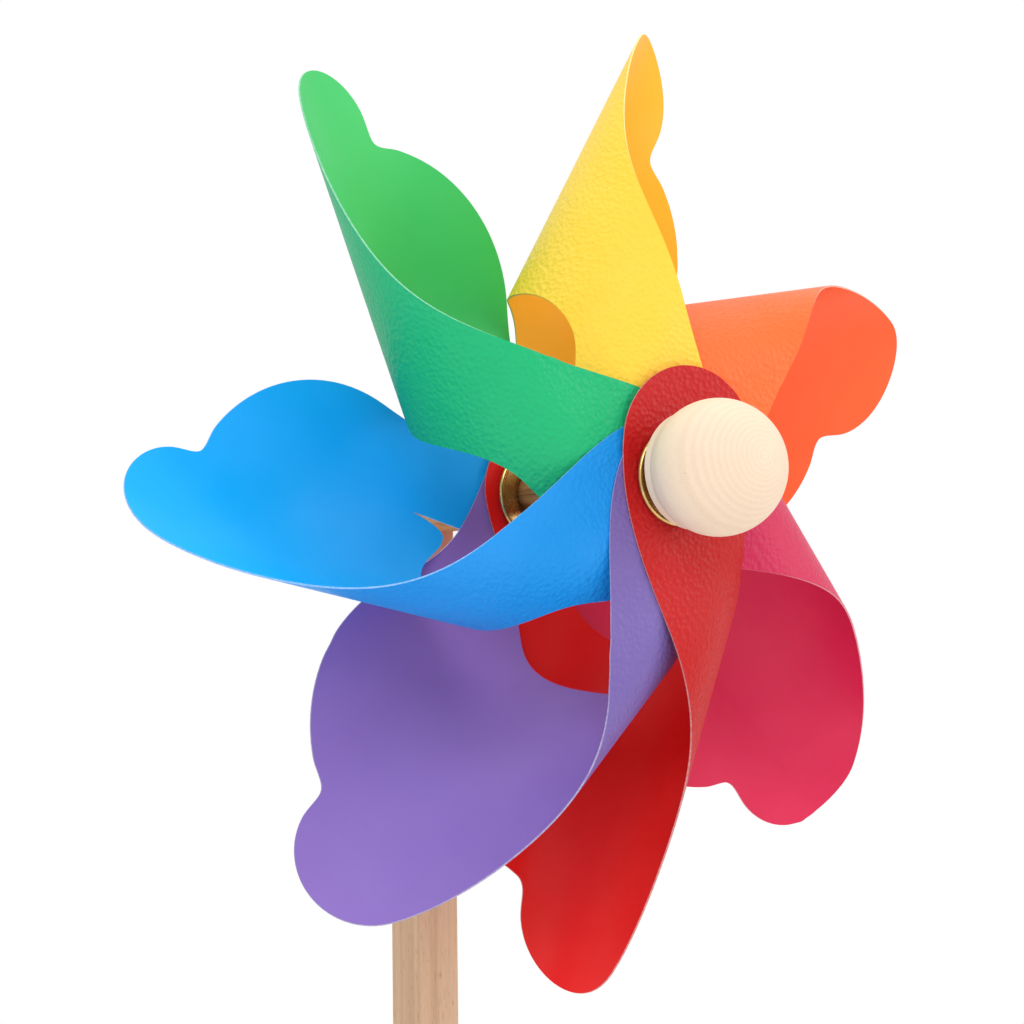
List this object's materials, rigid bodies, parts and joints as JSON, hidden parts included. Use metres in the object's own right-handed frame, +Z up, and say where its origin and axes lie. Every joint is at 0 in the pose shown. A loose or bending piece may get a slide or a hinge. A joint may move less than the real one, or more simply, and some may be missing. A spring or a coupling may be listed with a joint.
{
  "type": "pinwheel",
  "caption": "Hand-held pinwheel: a ring of rolled, lobed plastic blades on brass eyelets turns on a wooden axle with a ball end, on a square stick.",
  "frame": {"origin": "centre of the stick's square lower end", "axes": "+Z up along the stick, the wheel faces -Y, +X to the right seen from in front of the wheel"},
  "size_m": [0.224, 0.1411, 0.4746],
  "materials": {
    "stick_wood": "sanded bare wood",
    "axle_wood": "sanded bare dowel, darker grain",
    "spacer_wood": "sanded bare wood",
    "ball_wood": "turned and sanded bare wood",
    "brass": "pressed sheet, bright",
    "magenta_sheet": "one side smooth, one side with a leather grain",
    "orange_sheet": "one side smooth, one side with a leather grain",
    "yellow_sheet": "one side smooth, one side with a leather grain",
    "green_sheet": "one side smooth, one side with a leather grain",
    "blue_sheet": "one side smooth, one side with a leather grain",
    "purple_sheet": "one side smooth, one side with a leather grain",
    "red_sheet": "one side smooth, one side with a leather grain"
  },
  "bodies": {
    "stand": {"post": "stick_wood", "axle": "axle_wood", "rear_spacer": "spacer_wood", "ball_knob": "ball_wood"},
    "wheel": {"rear_eyelet": "brass", "rear_washer": "brass", "front_eyelet": "brass", "front_washer": "brass", "magenta_blade": "magenta_sheet", "orange_blade": "orange_sheet", "yellow_blade": "yellow_sheet", "green_blade": "green_sheet", "blue_blade": "blue_sheet", "purple_blade": "purple_sheet", "red_blade": "red_sheet"}
  },
  "joints": [
    {"name": "wheel_spin", "type": "hinge", "parent": "stand", "child": "wheel", "pos_m": [0, -0.075, 0.36305], "axis": [0, -1, 0], "continuous": true}
  ]
}
